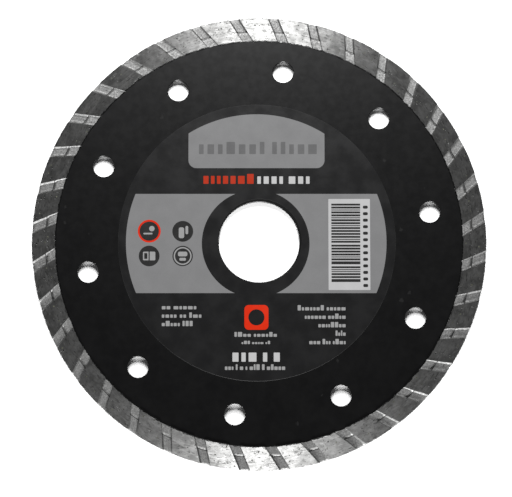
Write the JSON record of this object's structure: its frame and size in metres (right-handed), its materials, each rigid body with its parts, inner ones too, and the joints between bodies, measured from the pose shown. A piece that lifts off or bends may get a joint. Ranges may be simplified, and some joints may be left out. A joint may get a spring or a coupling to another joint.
{
  "type": "diamond cutting disc",
  "caption": "Thin flat cutting disc for an angle grinder: notched steel core with ten cooling holes and a bore, sintered diamond rim with slanted grooves, and a printed front label.",
  "frame": {"origin": "centre of the central bore, halfway through the disc's thickness", "axes": "+Z along the bore axis, out of the labelled front side; +Y towards the top of the label's print; +X to the right of the print"},
  "size_m": [0.125, 0.125, 0.0022],
  "materials": {
    "lacquered_steel": "satin black lacquer",
    "sintered_bond": "sintered metal bond, ground on the lands and as pressed in the grooves",
    "diamond": "glassy yellow-green synthetic crystals",
    "label_film": "printed film, satin"
  },
  "bodies": {
    "root": {"steel_core": "lacquered_steel", "diamond_rim": "sintered_bond", "diamond_grit": "diamond", "front_label": "label_film"}
  },
  "joints": []
}
